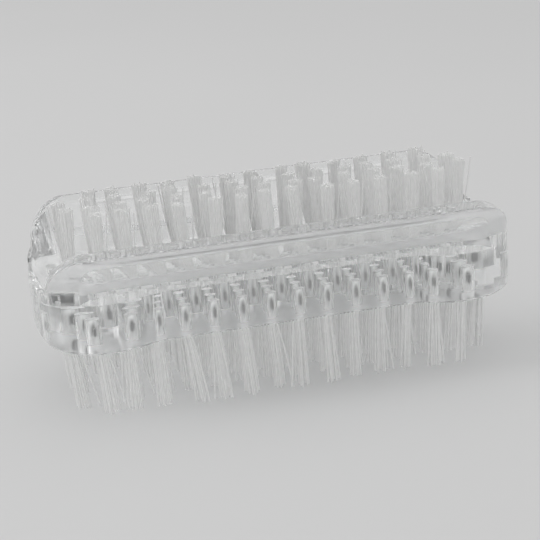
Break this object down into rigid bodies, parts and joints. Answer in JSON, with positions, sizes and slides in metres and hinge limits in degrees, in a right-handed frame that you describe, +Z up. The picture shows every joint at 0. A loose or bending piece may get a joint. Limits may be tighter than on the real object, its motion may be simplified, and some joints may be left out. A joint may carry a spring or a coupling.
{
  "type": "nail brush",
  "caption": "Double-sided nail brush: clear block handle with finger grips, filament tufts below and between two upright rails on top, each tuft held by a flat metal anchor.",
  "frame": {"origin": "on the surface that the tips of the lower tufts stand on, below the middle of the handle", "axes": "+X along the handle, +Y across it, +Z up from the lower tufts to the upper ones"},
  "size_m": [0.095, 0.044, 0.0392],
  "materials": {
    "clear_handle": "polished clear acrylic",
    "filament": "translucent white nylon filament",
    "anchor_metal": "dull flat wire"
  },
  "bodies": {
    "root": {"handle_block": "clear_handle", "lower_tufts_row_1": "filament", "lower_tufts_row_2": "filament", "lower_tufts_row_3": "filament", "lower_tufts_row_4": "filament", "lower_tufts_row_5": "filament", "lower_tufts_row_6": "filament", "upper_tufts_row_1": "filament", "upper_tufts_row_2": "filament", "upper_tufts_row_3": "filament", "upper_tufts_row_4": "filament", "lower_anchors_row_1": "anchor_metal", "lower_anchors_row_2": "anchor_metal", "lower_anchors_row_3": "anchor_metal", "lower_anchors_row_4": "anchor_metal", "lower_anchors_row_5": "anchor_metal", "lower_anchors_row_6": "anchor_metal", "upper_anchors_row_1": "anchor_metal", "upper_anchors_row_2": "anchor_metal", "upper_anchors_row_3": "anchor_metal", "upper_anchors_row_4": "anchor_metal"}
  },
  "joints": []
}
